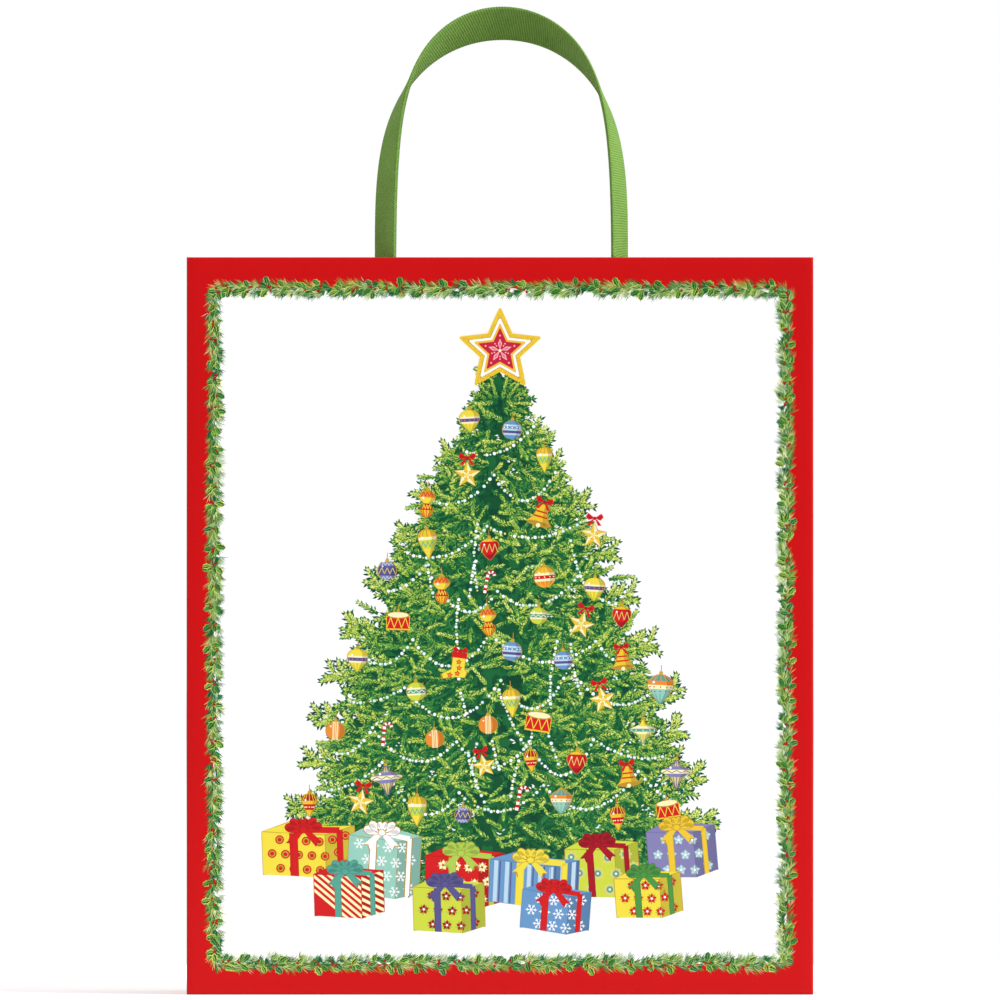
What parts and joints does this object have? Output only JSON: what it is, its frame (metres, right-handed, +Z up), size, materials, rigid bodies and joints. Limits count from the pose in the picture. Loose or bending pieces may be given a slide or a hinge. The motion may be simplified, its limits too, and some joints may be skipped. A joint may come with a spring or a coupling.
{
  "type": "gift bag",
  "caption": "Tote-style gift bag of printed laminated fabric with creased gussets, turned-in hems, webbing handles and a loose base board.",
  "frame": {"origin": "on the surface the bag stands on, under the middle of its base", "axes": "+X to the right across the front panel, -Y out of the front panel, +Z up through the open mouth"},
  "size_m": [0.34, 0.15, 0.5364],
  "materials": {
    "printed_laminate": "satin",
    "red_laminate": "satin",
    "seam_binding": "matte",
    "white_nonwoven": "matte",
    "green_webbing": "matte",
    "thread": "satin",
    "base_card": "matte"
  },
  "bodies": {
    "bag": {"back_bottom_seam": "seam_binding", "back_hem": "red_laminate", "back_left_corner_seam": "seam_binding", "back_left_handle_end": "green_webbing", "back_left_handle_patch": "white_nonwoven", "back_left_handle_stitches": "thread", "back_panel": "printed_laminate", "back_right_corner_seam": "seam_binding", "back_right_handle_end": "green_webbing", "back_right_handle_patch": "white_nonwoven", "back_right_handle_stitches": "thread", "bottom_panel": "red_laminate", "front_bottom_seam": "seam_binding", "front_hem": "red_laminate", "front_left_corner_seam": "seam_binding", "front_left_handle_end": "green_webbing", "front_left_handle_patch": "white_nonwoven", "front_left_handle_stitches": "thread", "front_panel": "printed_laminate", "front_right_corner_seam": "seam_binding", "front_right_handle_end": "green_webbing", "front_right_handle_patch": "white_nonwoven", "front_right_handle_stitches": "thread", "left_bottom_seam": "seam_binding", "left_gusset": "red_laminate", "left_hem": "red_laminate", "right_bottom_seam": "seam_binding", "right_gusset": "red_laminate", "right_hem": "red_laminate"},
    "front_handle": {"front_handle_loop": "green_webbing"},
    "back_handle": {"back_handle_loop": "green_webbing"},
    "board": {"base_board": "base_card"}
  },
  "joints": [
    {"name": "front_handle_swing", "type": "hinge", "parent": "bag", "child": "front_handle", "pos_m": [0, -0.0746, 0.4], "axis": [1, 0, 0], "range_deg": [-4, 180]},
    {"name": "back_handle_swing", "type": "hinge", "parent": "bag", "child": "back_handle", "pos_m": [0, 0.0746, 0.4], "axis": [-1, 0, 0], "range_deg": [-4, 180]},
    {"name": "base_board_lift", "type": "hinge", "parent": "bag", "child": "board", "pos_m": [0, 0.0718, 0.0047], "axis": [-1, 0, 0], "range_deg": [0, 88]}
  ]
}
